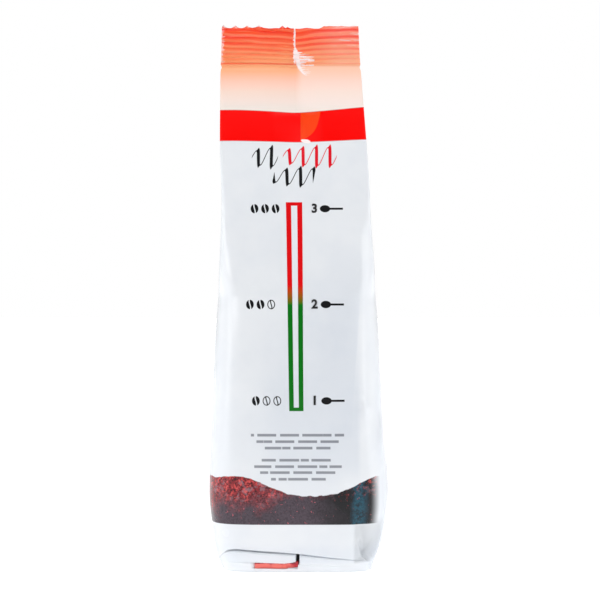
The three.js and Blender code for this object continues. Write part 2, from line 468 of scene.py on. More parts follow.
def film_point(u, v, row, sizes):
    """The place of a point of the film in millimetres, and how much shade is painted on it where it
    lies in a fold or a crimp, from 0 to 1. u runs from -1 at the left to 1 at the right and v from
    -1 at the front to 1 at the back: both on the edge of a square or, in the two ends, inside it."""
    zone, place = row
    is_end = max(abs(u), abs(v)) < EDGE
    height = row_height(row, u, v)
    x, y, out = section_point(u, v, height)
    z = height
    if zone in ("settle", "level") and not is_end:
        push = dents(x, y, z, sizes)
        x += out.x * push
        y += out.y * push
    x += section_value("lean", height)

    panel = 1 - abs(u) ** 8  # 1 over the front and back panels, 0 at their edges
    hidden = 0.0
    if zone == "foot" and not is_end:
        share, inset_left, inset_right = place
        inset = between(u, -1, 1, inset_left, inset_right)
        gap = gap_depth(x, share)
        y -= math.copysign(max(inset, gap, pocket_depth(x, share)) * panel, v)
        # Painted shade in the slot above the lips and in the gap between them.
        hidden = max(0.3 * smoothstep(inset, 0.6, 2.7), smoothstep(gap, 0.6, 3.0))
    if v < 0 and not is_end and zone != "seal":
        in_front = smoothstep(-v, 0.6, 0.95)
        nearness = pinch_nearness(x, z) * in_front
        # Painted shade in the pinch at the right end of the foot.
        shade = sum(amount * smoothstep(nearness, low, high) for amount, low, high in PINCH_SHADES)
        hidden = max(hidden, shade)
        pinch = pinch_depth(x, z) * in_front
        x -= out.x * pinch
        y -= out.y * pinch

    if v < 0 and zone == "level":
        y += flat_depth(x, z) * smoothstep(-v, 0, 0.9)
    if v < 0 or zone == "seal":
        y += crease_depth(x, height, sizes) * panel
    if v > EDGE and zone != "seal":
        y += SEAM["rise"] * smoothstep(SEAM["width"] / 2 - abs(x), -0.4, 0.4)
    if zone == "seal":
        wave = crimp_wave(x, place, sizes)
        # The crimps' valleys take painted shade.
        hidden = smoothstep(-wave, -0.5, 1.1)
        y += sizes.ridge_rise * wave
        z -= tooth_drop(x, sizes) * smoothstep(place, 0.9, 1)

    if zone == "foot" and (is_end or place[0] == 0):
        z = ARCH["height"] * tent(x, ARCH["half_width"]) ** 1.5
    return Vector((x, y, z)), hidden


def spread_column(share):
    """Moves evenly spread columns closer to a panel's middle and its edges."""
    return share - 0.5 * math.sin(2 * math.pi * share) / (2 * math.pi)


def subdivide_along(bm, axis, parts):
    """Divides every edge of a box that runs along an axis."""
    edges = [e for e in bm.edges if abs((e.verts[0].co - e.verts[1].co)[axis]) > 1e-4]
    bmesh.ops.subdivide_edges(bm, edges=edges, cuts=parts - 1, use_grid_fill=True)


def film_box(rows):
    """A box from -1 to 1 whose sides are divided into the film's rows and columns."""
    bm = bmesh.new()
    bmesh.ops.create_cube(bm, size=2)
    subdivide_along(bm, 0, COLUMNS_ACROSS)
    subdivide_along(bm, 1, COLUMNS_DEEP)
    subdivide_along(bm, 2, len(rows) - 1)
    return bm


def ring_order():
    """The film's columns in order round the bag, from the middle of the front to the right."""
    across = [2 * k / COLUMNS_ACROSS - 1 for k in range(COLUMNS_ACROSS + 1)]
    deep = [2 * k / COLUMNS_DEEP - 1 for k in range(COLUMNS_DEEP + 1)]
    half = COLUMNS_ACROSS // 2
    right = [(u, -1.0) for u in across[half:]] + [(1.0, v) for v in deep[1:]]
    right += [(u, 1.0) for u in reversed(across[half:-1])]
    return right


def key_of(u, v, k):
    """A name for a point of the box that rounding can't change."""
    return round(u * 1000), round(v * 1000), k


def distances_round_bag(points, last):
    """How far each point of the box's sides lies from the middle of the front, along its row."""
    distances = {}
    for k in range(last + 1):
        for side in (1, -1):
            distance = 0.0
            before = None
            for u, v in ring_order():
                point = points[key_of(u * side, v, k)]
                if before is not None:
                    distance += (point - before).length
                distances[key_of(u * side, v, k)] = distance
                before = point
    return distances


def shape_film(bm, rows, sizes):
    """Moves the box's points to their places on the bag, and unrolls the film into a UV map that
    holds millimetres: round the bag from the middle of the front, and up from the base."""
    last = len(rows) - 1
    painted_shade_layer = bm.verts.layers.float.new("hidden")
    spots = {v: key_of(v.co.x, v.co.y, round((v.co.z + 1) / 2 * last)) for v in bm.verts}
    points = {}
    for vert, key in spots.items():
        u, v = spread_column(vert.co.x), spread_column(vert.co.y)
        points[key], vert[painted_shade_layer] = film_point(u, v, rows[key[2]], sizes)

    round_bag = distances_round_bag(points, last)
    layer = bm.loops.layers.uv.new("film")
    for face in bm.faces:
        middle = face.calc_center_median()
        for loop in face.loops:
            key = spots[loop.vert]
            point = points[key]
            along = round_bag.get(key, abs(point.x))
            loop[layer].uv = (math.copysign(along, middle.x), point.z)

    for vert, key in spots.items():
        vert.co = points[key] * MM
    centre_on_solid(bm)


def centre_on_solid(bm):
    """Moves a shaped film so that its box has the middle and the foot of the solid's box."""
    low = Vector([min(v.co[i] for v in bm.verts) for i in range(3)])
    high = Vector([max(v.co[i] for v in bm.verts) for i in range(3)])
    shift = (cad_low + cad_high - low - high) / 2
    shift.z = cad_low.z - low.z
    bmesh.ops.translate(bm, verts=bm.verts, vec=shift)


def link(piece):
    """Puts an object into the scene."""
    bpy.context.scene.collection.objects.link(piece)


def new_object(bm, name, material):
    """Makes a finished bmesh an object of the scene."""
    mesh = bpy.data.meshes.new(name)
    bm.to_mesh(mesh)
    bm.free()
    mesh.materials.append(material)
    piece = bpy.data.objects.new(name, mesh)
    link(piece)
    return piece


def finish_piece(bm, name, material):
    """Makes a finished bmesh a smooth piece that rides on the bag."""
    piece = new_object(bm, name, material)
    for polygon in piece.data.polygons:
        polygon.use_smooth = True
    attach(piece, "root")
    return piece


# Shader maths.


class Wire:
    """An output socket of a material's nodes. Arithmetic on wires adds Math nodes."""

    def __init__(self, tree, socket):
        self.tree = tree
        self.socket = socket

    def node(self, kind, settings=None, inputs=None, output=0):
        """Any node, with its settings, then its sockets' values or links, as a wire."""
        made = self.tree.nodes.new(kind)
        for name, value in (settings or {}).items():
            if name == "stops":
                set_stops(made.color_ramp, value)
            else:
                setattr(made, name, value)
        set_inputs(self.tree, made, inputs or {})
        return Wire(self.tree, made.outputs[output])

    def math(self, operation, *others, clamp=False):
        """A Math node of this wire and the other operands, in order."""
        settings = {"operation": operation, "use_clamp": clamp}
        return self.node("ShaderNodeMath", settings, dict(enumerate((self, *others))))

    def __add__(self, other):
        return self.math("ADD", other)

    def __sub__(self, other):
        return self.math("SUBTRACT", other)

    def __rsub__(self, other):
        return self.math("MULTIPLY_ADD", -1.0, other)

    def __mul__(self, other):
        return self.math("MULTIPLY", other)

    def __truediv__(self, other):
        return self.math("DIVIDE", other)

    def __rtruediv__(self, other):
        return self.power(-1.0) * other

    __radd__ = __add__
    __rmul__ = __mul__

    def __neg__(self):
        return self * -1.0

    def __abs__(self):
        return self.math("ABSOLUTE")

    def at_least(self, other):
        return self.math("MAXIMUM", other)

    def at_most(self, other):
        return self.math("MINIMUM", other)

    def sine(self):
        return self.math("SINE")

    def root(self):
        return self.math("SQRT")

    def power(self, exponent):
        return self.math("POWER", exponent)

    def clamped(self):
        """This wire, held between 0 and 1."""
        return self.math("ADD", 0.0, clamp=True)

    def part(self, number):
        """The x, y or z of this vector: part 0, 1 or 2."""
        return self.node("ShaderNodeSeparateXYZ", {}, {"Vector": self}, output=number)

    def share(self, low, high, clamp=False):
        """0 at low and 1 at high, on a straight line."""
        return self.math("MULTIPLY_ADD", 1 / (high - low), -low / (high - low), clamp=clamp)

    def along(self, start, end):
        """The start where this wire is 0 and the end where it is 1, on a straight line."""
        return self * (end - start) + start

    def rise(self, low, high):
        """0 at low, 1 at high, and a smooth rise between them, whichever of them is larger."""
        return self.node(
            "ShaderNodeMapRange", {"interpolation_type": "SMOOTHSTEP"}, {0: self, 1: low, 2: high}
        )

    def window(self, start, end):
        """1 in a stretch that comes in over the start's two values and goes out over the end's."""
        return self.rise(*start) * self.rise(*end)

    def inside(self, edge, blur=0.12):
        """1 where this wire is below the edge, and 0 where it is above, with a soft border."""
        return (self - edge).math("MULTIPLY_ADD", -1.0 / blur, 0.5, clamp=True)

    def noise(self, scale, detail=2.0, roughness=0.5):
        """Smooth noise, 0 to 1, read at this vector."""
        inputs = {"Vector": self, "Scale": scale, "Detail": detail, "Roughness": roughness}
        return self.node("ShaderNodeTexNoise", {"noise_dimensions": "3D"}, inputs)


def set_inputs(tree, node, inputs):
    """Gives a node's sockets their plain values, or links them to wires."""
    for name, value in inputs.items():
        if isinstance(value, Wire):
            tree.links.new(value.socket, node.inputs[name])
        else:
            node.inputs[name].default_value = value


def set_stops(ramp, stops):
    """Gives a colour ramp its stops, as pairs of a place and a colour."""
    while len(ramp.elements) < len(stops):
        ramp.elements.new(0.5)
    for element, (place, colour) in zip(ramp.elements, stops):
        element.position = place
        element.color = (*colour, 1.0)


def mix_colours(factor, low, high):
    """The low colour where the factor is 0, and the high one where it is 1."""
    inputs = {0: factor, 6: colour_input(low), 7: colour_input(high)}
    return factor.node("ShaderNodeMix", {"data_type": "RGBA"}, inputs, output=2)


def colour_input(colour):
    """What a colour socket takes: a wire, or a plain colour with its alpha."""
    return colour if isinstance(colour, Wire) else (*colour, 1.0)


def paint(colour, *layers):
    """Lays layers over a colour in order, each a mask and its own colour."""
    for mask, layer in layers:
        colour = mix_colours(mask, colour, layer)
    return colour


def union(masks):
    """The highest of some masks."""
    highest = masks[0]
    for mask in masks[1:]:
        highest = highest.at_least(mask)
    return highest


def new_material(name):
    """A material with only its shader, and the place in the bag's own space, in metres."""
    material = bpy.data.materials.new(name)
    material.use_nodes = True
    return material, Wire(material.node_tree, None).node("ShaderNodeTexCoord", output="Object")


def set_shader(material, inputs):
    """Gives the material's shader its plain values and wires."""
    shader = material.node_tree.nodes["Principled BSDF"]
    set_inputs(material.node_tree, shader, inputs)
    return material


# The print.


class Panel:
    """The film's own coordinates: u round the bag from the middle of the front and v up, and x, y
    and z in the bag's own space, all in mm. Hidden is how much shade is painted where a place lies
    deep in a fold or a crimp, front is 1 on the front half, and sealed is 1 on the top seal."""

    def __init__(self, place):
        self.place = place
        unrolled = place.node("ShaderNodeUVMap", {"uv_map": "film"})
        self.u, self.v = unrolled.part(0), unrolled.part(1)
        self.x, self.y, self.z = (place.part(k) * (1 / MM) for k in range(3))
        self.hidden = place.node("ShaderNodeAttribute", {"attribute_name": "hidden"}, output="Fac")
        self.front = self.y.inside(0.0, 0.2)
        self.sealed = self.v.rise(SEAL_FOOT - 1, SEAL_FOOT)

    def grain(self, scale, detail=2.0, roughness=0.5):
        """Noise in the bag's own space, with the scale in millimetres."""
        return self.place.noise(1 / (scale * MM), detail, roughness)

    def box(self, centre_u, centre_v, half_u, half_v):
        """1 inside a rectangle."""
        return abs(self.u - centre_u).inside(half_u) * abs(self.v - centre_v).inside(half_v)

    def ellipse(self, centre_u, centre_v, half_u, half_v, blur=0.12):
        """1 inside an ellipse."""
        across = (self.u - centre_u) / half_u
        up = (self.v - centre_v) / half_v
        return (across * across + up * up).root().inside(1.0, blur / min(half_u, half_v))

    def wave_stroke(self, centre_u, centre_v, half_u, rise, turns):
        """A slanted brush stroke along a wave, thick where it falls and thin where it rises."""
        pace = turns * math.pi / half_u
        angle = (self.u - centre_u - (self.v - centre_v) * STROKE["slant"]) * pace
        height = (angle * (1 / turns / 2) + 0.9).sine() * (rise * 0.25) + rise * 0.85
        line = angle.sine() * height + centre_v
        slope = (angle + math.pi / 2).sine() * height * pace
        distance = abs(self.v - line) / (slope * slope + 1).root()
        width = slope.rise(1.2, -2.5).along(STROKE["thin"], STROKE["thick"])
        return (distance - width).inside(0.0, 0.14) * abs(angle).inside(turns * math.pi, 0.1)


# The colours of the fade, at heights in millimetres.
FADE = (
    (199.8, srgb(240, 229, 221)),
    (202.4, srgb(245, 226, 217)),
    (206.8, srgb(248, 220, 206)),
    (211.6, srgb(255, 204, 184)),
    (216.9, srgb(253, 178, 132)),
    (221.4, srgb(255, 168, 114)),
    (228.5, srgb(255, 122, 76)),
    (236.0, srgb(255, 76, 36)),
)
# The red band below the fade.
BAND = {"foot": 184.2, "top": 197.8}
# The panel right of the crease in the band, where a painted sheen shows orange.
SHEEN_PATCH = {"left": 0.7, "foot_right": 6.4, "top_right": 9.6}
# Where the ink has cracked off along the crease: up the seal, and fanned out at the seal's foot,
# where the fan is also a painted highlight.
CRACK = {"x": -1.95, "half_width": 0.36, "foot": 219.5}
FAN = {"left": -1.75, "foot": 214.6, "top": 228.5, "reach": 8.4, "swing": 4.4}
# The painted highlight on the crease at the band's foot.
CREASE_GLINT = {"x": 3.0, "z": 184.4, "half_width": 1.9, "half_height": 0.95}
# The other colours of the film: inks of the print; a pale grey for painted shade on the panels and
# for the ink's uneven tone; a dark grey for painted shade in folds; a red for painted shade in the
# crimps' valleys; an orange and a pale painted sheen right of the crease; a painted highlight for
# the crimps' crests; and one white for cracked ink and painted highlights.
PRINT_AND_SHADE_COLOURS = {
    "thin": srgb(212, 218, 227), "dash": srgb(66, 70, 84), "flourish": srgb(222, 20, 40),
    "fold_shade": srgb(40, 48, 46), "orange_sheen": srgb(252, 70, 14), "pale_sheen": srgb(253, 238, 232),
    "overlap": srgb(150, 20, 16), "valley_shade": srgb(240, 36, 14), "crest_highlight": srgb(255, 170, 130),
    "wear_and_glints": srgb(255, 240, 240),
}
# The brush waves: each stroke's middle across and up, half its length, its rise and its waves.
STROKE = {"slant": 0.25, "thin": 0.186, "thick": 0.806}
BLACK_STROKES = ((-12.6, 177.2, 5.6, 3.6, 2), (-0.6, 168.6, 8.8, 3.2, 3))
RED_STROKE = (6.8, 177.6, 11.6, 3.6, 4)
# The strength scale: where its middle line, its outer edge and its hollow lie across at the foot
# and at the top, and the heights between which green turns to red.
SCALE = {
    "foot": 68.9, "top": 157.4, "line": (-0.4, -0.9), "outer": (3.0, 3.5), "inner": (1.04, 1.3),
    "wall": 1.5, "turn": (113.5, 121.9),
}
# The heights of the three rows of marks beside the scale.
MARK_ROWS = (154.6, 113.7, 73.2)
# The grounds are printed across the front and the back, a little to the left, and fade out towards
# the side panels; at the right front corner the fade to white is a painted glare.
GROUNDS = {
    "foot": 21.0, "crest": 32.6, "hill": 8.4, "valley": 5.5,
    "left_end": (-66.0, -50.0), "right_end": (37.5, 30.5), "back": (104.0, 118.0),
    "glint": ((21.0, 24.5), (31.0, 26.5)),
}
GROUNDS_INKS = {
    "brown": srgb(78, 66, 76), "red": srgb(146, 40, 48), "night": srgb(12, 12, 18),
    "glint": srgb(24, 84, 104), "speck": srgb(22, 16, 22), "dust": srgb(146, 116, 126),
    "ember": srgb(226, 84, 80), "spark": srgb(206, 96, 108),
}
# Patches of painted shade on the front: where each patch comes in and goes out, across and up, how
# far its right end leans for each millimetre of height, and how grey it is.
SHADE_PATCHES = (
    ((-8.0, 16.0), (23.4, 22.0), (36.0, 60.0), (140.0, 92.0), 0.055, 0.6),
    ((-24.0, -6.0), (27.0, 24.0), (36.0, 48.0), (120.0, 66.0), 0.0, 0.55),
)


def film_ground(panel, film):
    """The film's white ink, greyer in random clouds, and with painted shade in patches of the
    front, on the side panels and over the fold of the foot."""
    patches = []
    for left, right, foot, top, lean, grey in SHADE_PATCHES:
        right_end = panel.x - (panel.z - 60.0) * lean
        across = panel.x.rise(*left) * right_end.rise(*right)
        patches.append(across * panel.z.window(foot, top) * grey)
    # Painted shade in patches of the front.
    thin = union(patches) * panel.y.inside(-6.0, 3.0)
    # Painted shade on the side panels, more on the right.
    side = panel.u.rise(33.0, 42.0) * 0.55 + (-panel.u).rise(36.0, 44.0) * 0.3
    side = side * panel.z.rise(112.0, 64.0) * abs(panel.u).rise(135.0, 110.0)
    # Painted shade just above the fold of the foot.
    shade_above_fold = panel.z.window((14.0, 9.0), (3.5, 5.0)) * 0.35
    cloud = panel.grain(24.0, 3.0, 0.6).rise(0.36, 0.66)
    return mix_colours(thin + cloud * 0.25 + side + shade_above_fold, film, PRINT_AND_SHADE_COLOURS["thin"])


def fade_colour(panel):
    """The fade from the band up to the cut edge."""
    low, high = FADE[0][0], FADE[-1][0]
    stops = [((height - low) / (high - low), colour) for height, colour in FADE]
    return panel.v.node("ShaderNodeValToRGB", {"stops": stops}, {"Fac": panel.v.share(low, high)})


def scale_layers(panel, colours, ground):
    """The outlined strength scale: a red top that turns green at the foot, white inside."""
    foot, top = SCALE["foot"], SCALE["top"]
    up = panel.v.share(foot, top)
    across = abs(panel.u - up.along(*SCALE["line"]))
    ends = abs(panel.v - (top + foot) / 2)
    bar = (across - up.along(*SCALE["outer"])).inside(0.0) * ends.inside((top - foot) / 2)
    hollow = (across - up.along(*SCALE["inner"])).inside(0.0)
    hollow = hollow * ends.inside((top - foot) / 2 - SCALE["wall"])
    turn = panel.v.share(*SCALE["turn"], clamp=True)
    ink = mix_colours(turn, colours.mild, colours.strong)
    return mix_colours(bar * (1 - hollow), ground, ink)


# Each row shows three beans: where the first is, and how many of them are filled in. Then comes a
# spoon, with the middles of its bowl and its handle here.
BEAN_ROWS = ((-17.8, 3), (-19.8, 2), (-17.4, 1))
BEAN_PITCH = 4.5
SPOON = {"bowl": 12.3, "handle": 16.8}


def bean_mask(panel, centre, height, is_filled):
    """A bean with a wavy split, filled in or only outlined."""
    bean = panel.ellipse(centre, height, 1.65, 2.0)
    split = abs(panel.u - centre + (panel.v - height).sine() * 0.3).inside(0.24)
    if is_filled:
        return bean * (1 - split)
    return bean * (1 - panel.ellipse(centre, height, 1.25, 1.6)) + split * bean


def mark_mask(panel):
    """Beside the scale: beans on the left, and on the right a spoon after each number."""
    marks = []
    for height, (start, filled) in zip(MARK_ROWS, BEAN_ROWS):
        marks += [bean_mask(panel, start + k * BEAN_PITCH, height, k < filled) for k in range(3)]
        marks.append(panel.ellipse(SPOON["bowl"], height, 2.2, 1.55))
        marks.append(panel.box(SPOON["handle"], height, 3.2, 0.45))
    return union(marks)


# The lines of dashes: the height of each, and half its length.
LINES = (
    (58.8, 19.6), (56.1, 17.3), (53.4, 13.8),
    (48.3, 15.2), (45.6, 18.4), (43.1, 16.5), (40.3, 11.5),
)


def dash_mask(panel):
    """Lines of short grey dashes, as long as words, with no letters in them."""
    rows = []
    for number, (height, half) in enumerate(LINES):
        row = abs(panel.v - height).inside(0.55, 0.25) * abs(panel.u).inside(half, 0.2)
        beat = panel.u * 1.35 + number * 2.3
        rows.append(row * (beat.sine() + (beat * 0.43 + number).sine() * 0.6).inside(0.98, 0.2))
    return union(rows)


def grounds_mask(panel, behind):
    """1 inside the dark band at the foot, which is repeated on the back, and fades at the right
    front corner as a painted glare.
    """
    u, v = panel.u, panel.v
    swell = ((u - GROUNDS["valley"]) * 0.098).at_least(-math.pi).at_most(math.pi)
    hill = 0.5 - (swell + math.pi / 2).sine() * 0.5
    crest = hill * GROUNDS["hill"] + (u * 0.21 + 0.4).sine() * 0.5 + GROUNDS["crest"]
    crest = crest + (panel.grain(3.0) - 0.5) * 1.4
    body = (v - crest).inside(0.0, 0.25) * (GROUNDS["foot"] - v).inside(0.0, 0.15)
    # At the right front corner the band fades to white as a painted glare.
    return body * u.window(GROUNDS["left_end"], GROUNDS["right_end"]).at_least(behind)


def grounds_layer(panel, ground):
    """The dark band: grounds that are dusty red at the left and blacker to the right."""
    behind = abs(panel.u).rise(*GROUNDS["back"])
    ahead = 1 - behind
    cloud = panel.grain(9.0, 3.0) - 0.5
    speck = panel.grain(0.8, 3.0, 0.75)
    ember = panel.grain(1.5, 3.0, 0.7)
    blotch = panel.grain(2.6, 3.0, 0.6)
    left = panel.u.rise(6.0, -30.0) * 0.8 * ahead + behind * 0.5
    redness = (left + cloud * 1.8 + (panel.v - GROUNDS["crest"]) * 0.09).clamped()
    night = (panel.u.rise(2.0, 19.0) * ahead + behind * 0.45 + cloud).clamped()
    glint = panel.u.window(*GROUNDS["glint"]) * blotch.rise(0.3, 0.52) * 0.85
    inks = GROUNDS_INKS
    grounds = paint(
        mix_colours(redness, inks["brown"], inks["red"]),
        (night, inks["night"]),
        (glint, inks["glint"]),
        (speck.rise(0.47, 0.57) * (redness * 0.5 + 0.4), inks["speck"]),
        (blotch.rise(0.5, 0.64) * redness * 0.7, inks["dust"]),
        (ember.rise(0.53, 0.6) * redness * 0.7, inks["ember"]),
        (ember.rise(0.66, 0.69) * (1 - night * 0.7), inks["spark"]),
    )
    return mix_colours(grounds_mask(panel, behind), ground, grounds)


def flourish_layers(panel, colours, ground):
    """Loose brush waves above the scale, in black and red."""
    black = union([panel.wave_stroke(*stroke) for stroke in BLACK_STROKES])
    red = panel.wave_stroke(*RED_STROKE)
    return paint(ground, (black, colours.ink), (red, PRINT_AND_SHADE_COLOURS["flourish"]))


def crack_mask(panel, jag):
    """The crack up the crease of the seal."""
    line = abs(panel.x - CRACK["x"] + jag * 1.3)
    broken = line - jag * 1.2 - (panel.grain(3.0) - 0.5) * 0.6
    return broken.inside(CRACK["half_width"], 0.15) * panel.z.rise(CRACK["foot"], CRACK["foot"] + 1)


def fan_mask(panel, jag, streaks):
    """The fan of streaks that opens from the crease at the seal's foot, partly cracked ink and
    partly a painted highlight. Down is 0 at its top and 1 at its foot."""
    foot = FAN["foot"]
    down = (FAN["top"] - panel.z) / (FAN["top"] - foot)
    swing = down.at_least(0.0).power(4.0) * FAN["swing"]
    out = panel.x - FAN["left"] - swing
    ragged = down.rise(0.15, 0.4) * (streaks * FAN["reach"] * down.rise(1.6, 0.5) - swing * 0.4)
    solid = down.rise(0.0, 0.35) * 1.7 * down.rise(1.15, 0.6)
    fan = (out - ragged.at_least(solid) + jag * 1.8).inside(0.0, 0.3) * (out + jag).rise(-0.4, 0.1)
    return fan * panel.z.rise(foot - 0.4, foot + 0.2) * down.rise(-0.02, 0.05)


def crease_glint_mask(panel, jag):
    """The painted highlight on the crease at the foot of the red band."""
    from_foot = panel.z - CREASE_GLINT["z"]
    across = (panel.x - CREASE_GLINT["x"] + from_foot * 0.8) / CREASE_GLINT["half_width"]
    up = (from_foot + jag * 0.6) / CREASE_GLINT["half_height"]
    return (across * across + up * up).inside(1.0, 0.5) * panel.front


def wear_layer(panel, ground):
    """White cracks where the printed film is folded hard: along the crease, in a fan at the seal's
    foot, which is also a painted highlight, at the cut edge and at the left end of the seal; and
    painted highlights on the crease at the band's foot and on the seal's uppermost crimps."""
    x, z = panel.x, panel.z
    in_sight = panel.front.at_least(panel.v.rise(FAN["foot"], FAN["foot"] + 4))
    jag = panel.grain(1.1, 3.0, 0.8) - 0.5
    drawn_out = {0: panel.place, 1: (90.0, 0.0, 1150.0)}
    grain = x.node("ShaderNodeVectorMath", {"operation": "MULTIPLY"}, drawn_out)
    grain = grain.noise(1.0, 3.0, 0.65)
    edge = (z - BAG_HEIGHT + 1.0 + jag * 3.2).rise(0.0, 0.4) * x.rise(-4.0, -12.0)
    end = (-x - 33.2 + jag * 8).rise(0.0, 0.8) * z.rise(SEAL_FOOT, SEAL_FOOT + 2)
    # Painted highlights on the crests of the uppermost crimps at the right.
    crests = panel.hidden.inside(0.05, 0.06) * z.rise(226.0, 228.0)
    crest_glints = crests * grain.rise(0.48, 0.58) * x.rise(12.0, 22.0) * in_sight
    # One white for cracked ink and for painted highlights.
    wear_and_glints = union([
        crack_mask(panel, jag),
        fan_mask(panel, jag, grain.rise(0.42, 0.6)) * in_sight,
        crease_glint_mask(panel, jag),
        edge * 0.8,
        end * 0.6,
        crest_glints * 0.7,
    ])
    return mix_colours(wear_and_glints, ground, PRINT_AND_SHADE_COLOURS["wear_and_glints"])


def band_layers(panel, colours, ground):
    """The red band round the bag, with a painted orange sheen right of the crease, the fade from
    there to the cut edge, with a painted pale sheen right of the crease, and dark lines where two
    inks overlap."""
    held = panel.u.at_least(-36.0).at_most(36.0)
    sway = (held * 0.09 + 0.9).sine() * 0.6 - held.at_least(0.0) * 0.05
    sway = sway * abs(panel.u).rise(110.0, 50.0)
    below_fade = BAND["top"] - sway - panel.v
    below_band = BAND["foot"] - sway * 0.5 - panel.v
    over_foot = below_band.inside(0.0, 0.25)

    # A painted orange sheen right of the crease in the band.
    up = panel.v.share(BAND["foot"], BAND["top"])
    right = up.along(SHEEN_PATCH["foot_right"], SHEEN_PATCH["top_right"])
    right = right - (1 - up).at_least(0.0).power(5.0) * 7
    left = SHEEN_PATCH["left"]
    orange_sheen = panel.x.rise(left - 0.2, left + 0.2) * (right - panel.x).rise(-0.2, 0.5)
    # A painted pale sheen right of the crease, in the fade below the seal and on the seal's right
    # side.
    under_seal = panel.x.rise(-1.9, 2.0) * panel.y.inside(4.0, 4.0) * (1 - panel.sealed)
    pale = under_seal * 0.36 + panel.x.rise(0.0, 20.0) * panel.sealed * 0.19
    overlap = abs(below_fade).inside(0.16, 0.2).at_least(abs(below_band).inside(0.16, 0.2) * 0.7)
    return paint(
        ground,
        (over_foot, colours.band),
        (orange_sheen * over_foot * panel.front * 0.9, PRINT_AND_SHADE_COLOURS["orange_sheen"]),
        (below_fade.inside(0.0, 0.25), mix_colours(pale, fade_colour(panel), PRINT_AND_SHADE_COLOURS["pale_sheen"])),
        (overlap * 0.5, PRINT_AND_SHADE_COLOURS["overlap"]),
    )


def seal_layers(panel, ground):
    """The crimps, redder with painted shade in their valleys and along the seal's foot, and paler
    with painted highlights on their crests.
    """
    # Painted shade in the crimps' valleys and along the seal's foot.
    valley_shade = panel.hidden * panel.sealed * (panel.v.rise(220.0, 231.0) * 0.36 + 0.34)
    foot_line = abs(panel.v - SEAL_FOOT - 0.5).inside(0.35, 0.5)
    foot_line = foot_line * (panel.x.rise(4.0, -4.0) * 0.4 + 0.25)
    # Painted highlights on the crimps' crests.
    crest_highlight = panel.hidden.inside(0.16, 0.14) * panel.sealed * 0.28
    return paint(
        ground, (valley_shade.at_least(foot_line), PRINT_AND_SHADE_COLOURS["valley_shade"]), (crest_highlight, PRINT_AND_SHADE_COLOURS["crest_highlight"])
    )


def film_colour(panel, colours):
    """The whole print, from the white ink up to the wear, with painted shade in folds and crimps
    and painted highlights and sheen on the crease and the seal.
    """
    # Painted shade in the slot, the gap and the pinch of the foot.
    fold_shade = panel.hidden * panel.v.rise(25.0, 19.0) * 0.85
    colour = grounds_layer(panel, film_ground(panel, colours.film))
    colour = mix_colours(dash_mask(panel) * 0.68, colour, PRINT_AND_SHADE_COLOURS["dash"])
    colour = scale_layers(panel, colours, colour)
    colour = mix_colours(mark_mask(panel), colour, colours.ink)
    colour = flourish_layers(panel, colours, colour)
    colour = mix_colours(fold_shade, colour, PRINT_AND_SHADE_COLOURS["fold_shade"])
    colour = band_layers(panel, colours, colour)
    return wear_layer(panel, seal_layers(panel, colour))


def film_material(colours):
    """The printed, glossy laminate."""
    material, place = new_material("printed_film")
    panel = Panel(place)
    relief = panel.grain(9.0) * 0.7 + panel.grain(1.6) * 0.1
    bump = {"Strength": 0.25, "Distance": 0.6 * MM, "Height": relief}
    return set_shader(material, {
        "Base Color": film_colour(panel, colours),
        "Roughness": panel.grain(22.0) * 0.14 + 0.17,
        "IOR": 1.5,
        "Specular IOR Level": 0.34,
        "Normal": place.node("ShaderNodeBump", {}, bump),
    })


# The numbers of the scale.


# The figures: how far their fronts stand out of the film and their backs lie in it, and the
# longest edge that still bends with it.
FIGURE = {
    "x": 6.6, "size": 5.2, "thickness": 0.02, "weight": 0.2, "proud": 0.13, "sunk": 0.2,
    "longest_edge": 0.7,
}


def figure_mesh(digit):
    """A flat figure, divided finely enough to bend with the film."""
    curve = bpy.data.curves.new("figure_" + digit, "FONT")
    curve.body = digit
    curve.size = FIGURE["size"] * MM
    curve.align_x = "CENTER"
    curve.align_y = "CENTER"
    curve.extrude = FIGURE["thickness"] * MM
    curve.offset = FIGURE["weight"] * MM
    text = bpy.data.objects.new("figure_" + digit, curve)
    link(text)
    bpy.context.view_layer.update()
    mesh = bpy.data.meshes.new_from_object(text)
    bpy.data.objects.remove(text)
    bm = bmesh.new()
    bm.from_mesh(mesh)
    bpy.data.meshes.remove(mesh)
    bmesh.ops.remove_doubles(bm, verts=bm.verts, dist=1e-6)
    for _ in range(3):
        long_edges = [e for e in bm.edges if e.calc_length() > FIGURE["longest_edge"] * MM]
        bmesh.ops.subdivide_edges(bm, edges=long_edges, cuts=1)
        bmesh.ops.triangulate(bm, faces=bm.faces)
    return bm


def add_numbers(material):
    """Plain figures right of the scale, printed on the panel."""
    film = bpy.data.objects["bag_film"]
    for digit, height in zip("321", MARK_ROWS):
        bm = figure_mesh(digit)
        lay_on_panel(bm, film, FIGURE["x"] * MM, height * MM)
        finish_piece(bm, "scale_figure_" + digit, material)


def lay_on_panel(bm, film, x, z):
    """Stands a flat figure up at a place on the panel and presses it onto the film."""
    for vert in bm.verts:
        across, up, out = vert.co
        start = Vector((x + across, -0.2, z + up))
        hit, spot, _, _ = film.ray_cast(start, Vector((0, 1, 0)))
        if not hit:
            raise RuntimeError("a figure of the scale doesn't lie on the panel")
        in_film = -FIGURE["proud"] if out > 0 else FIGURE["sunk"]
        vert.co = spot + Vector((0, in_film * MM, 0))


def ink_material(colours):
    """The black ink of the figures, under the same gloss as the film."""
    material, place = new_material("printed_ink")
    colour = mix_colours(place.noise(900.0) * 0.12, colours.ink, srgb(70, 70, 74))
    return set_shader(material, {"Base Color": colour, "Roughness": 0.32})


# The base seal.


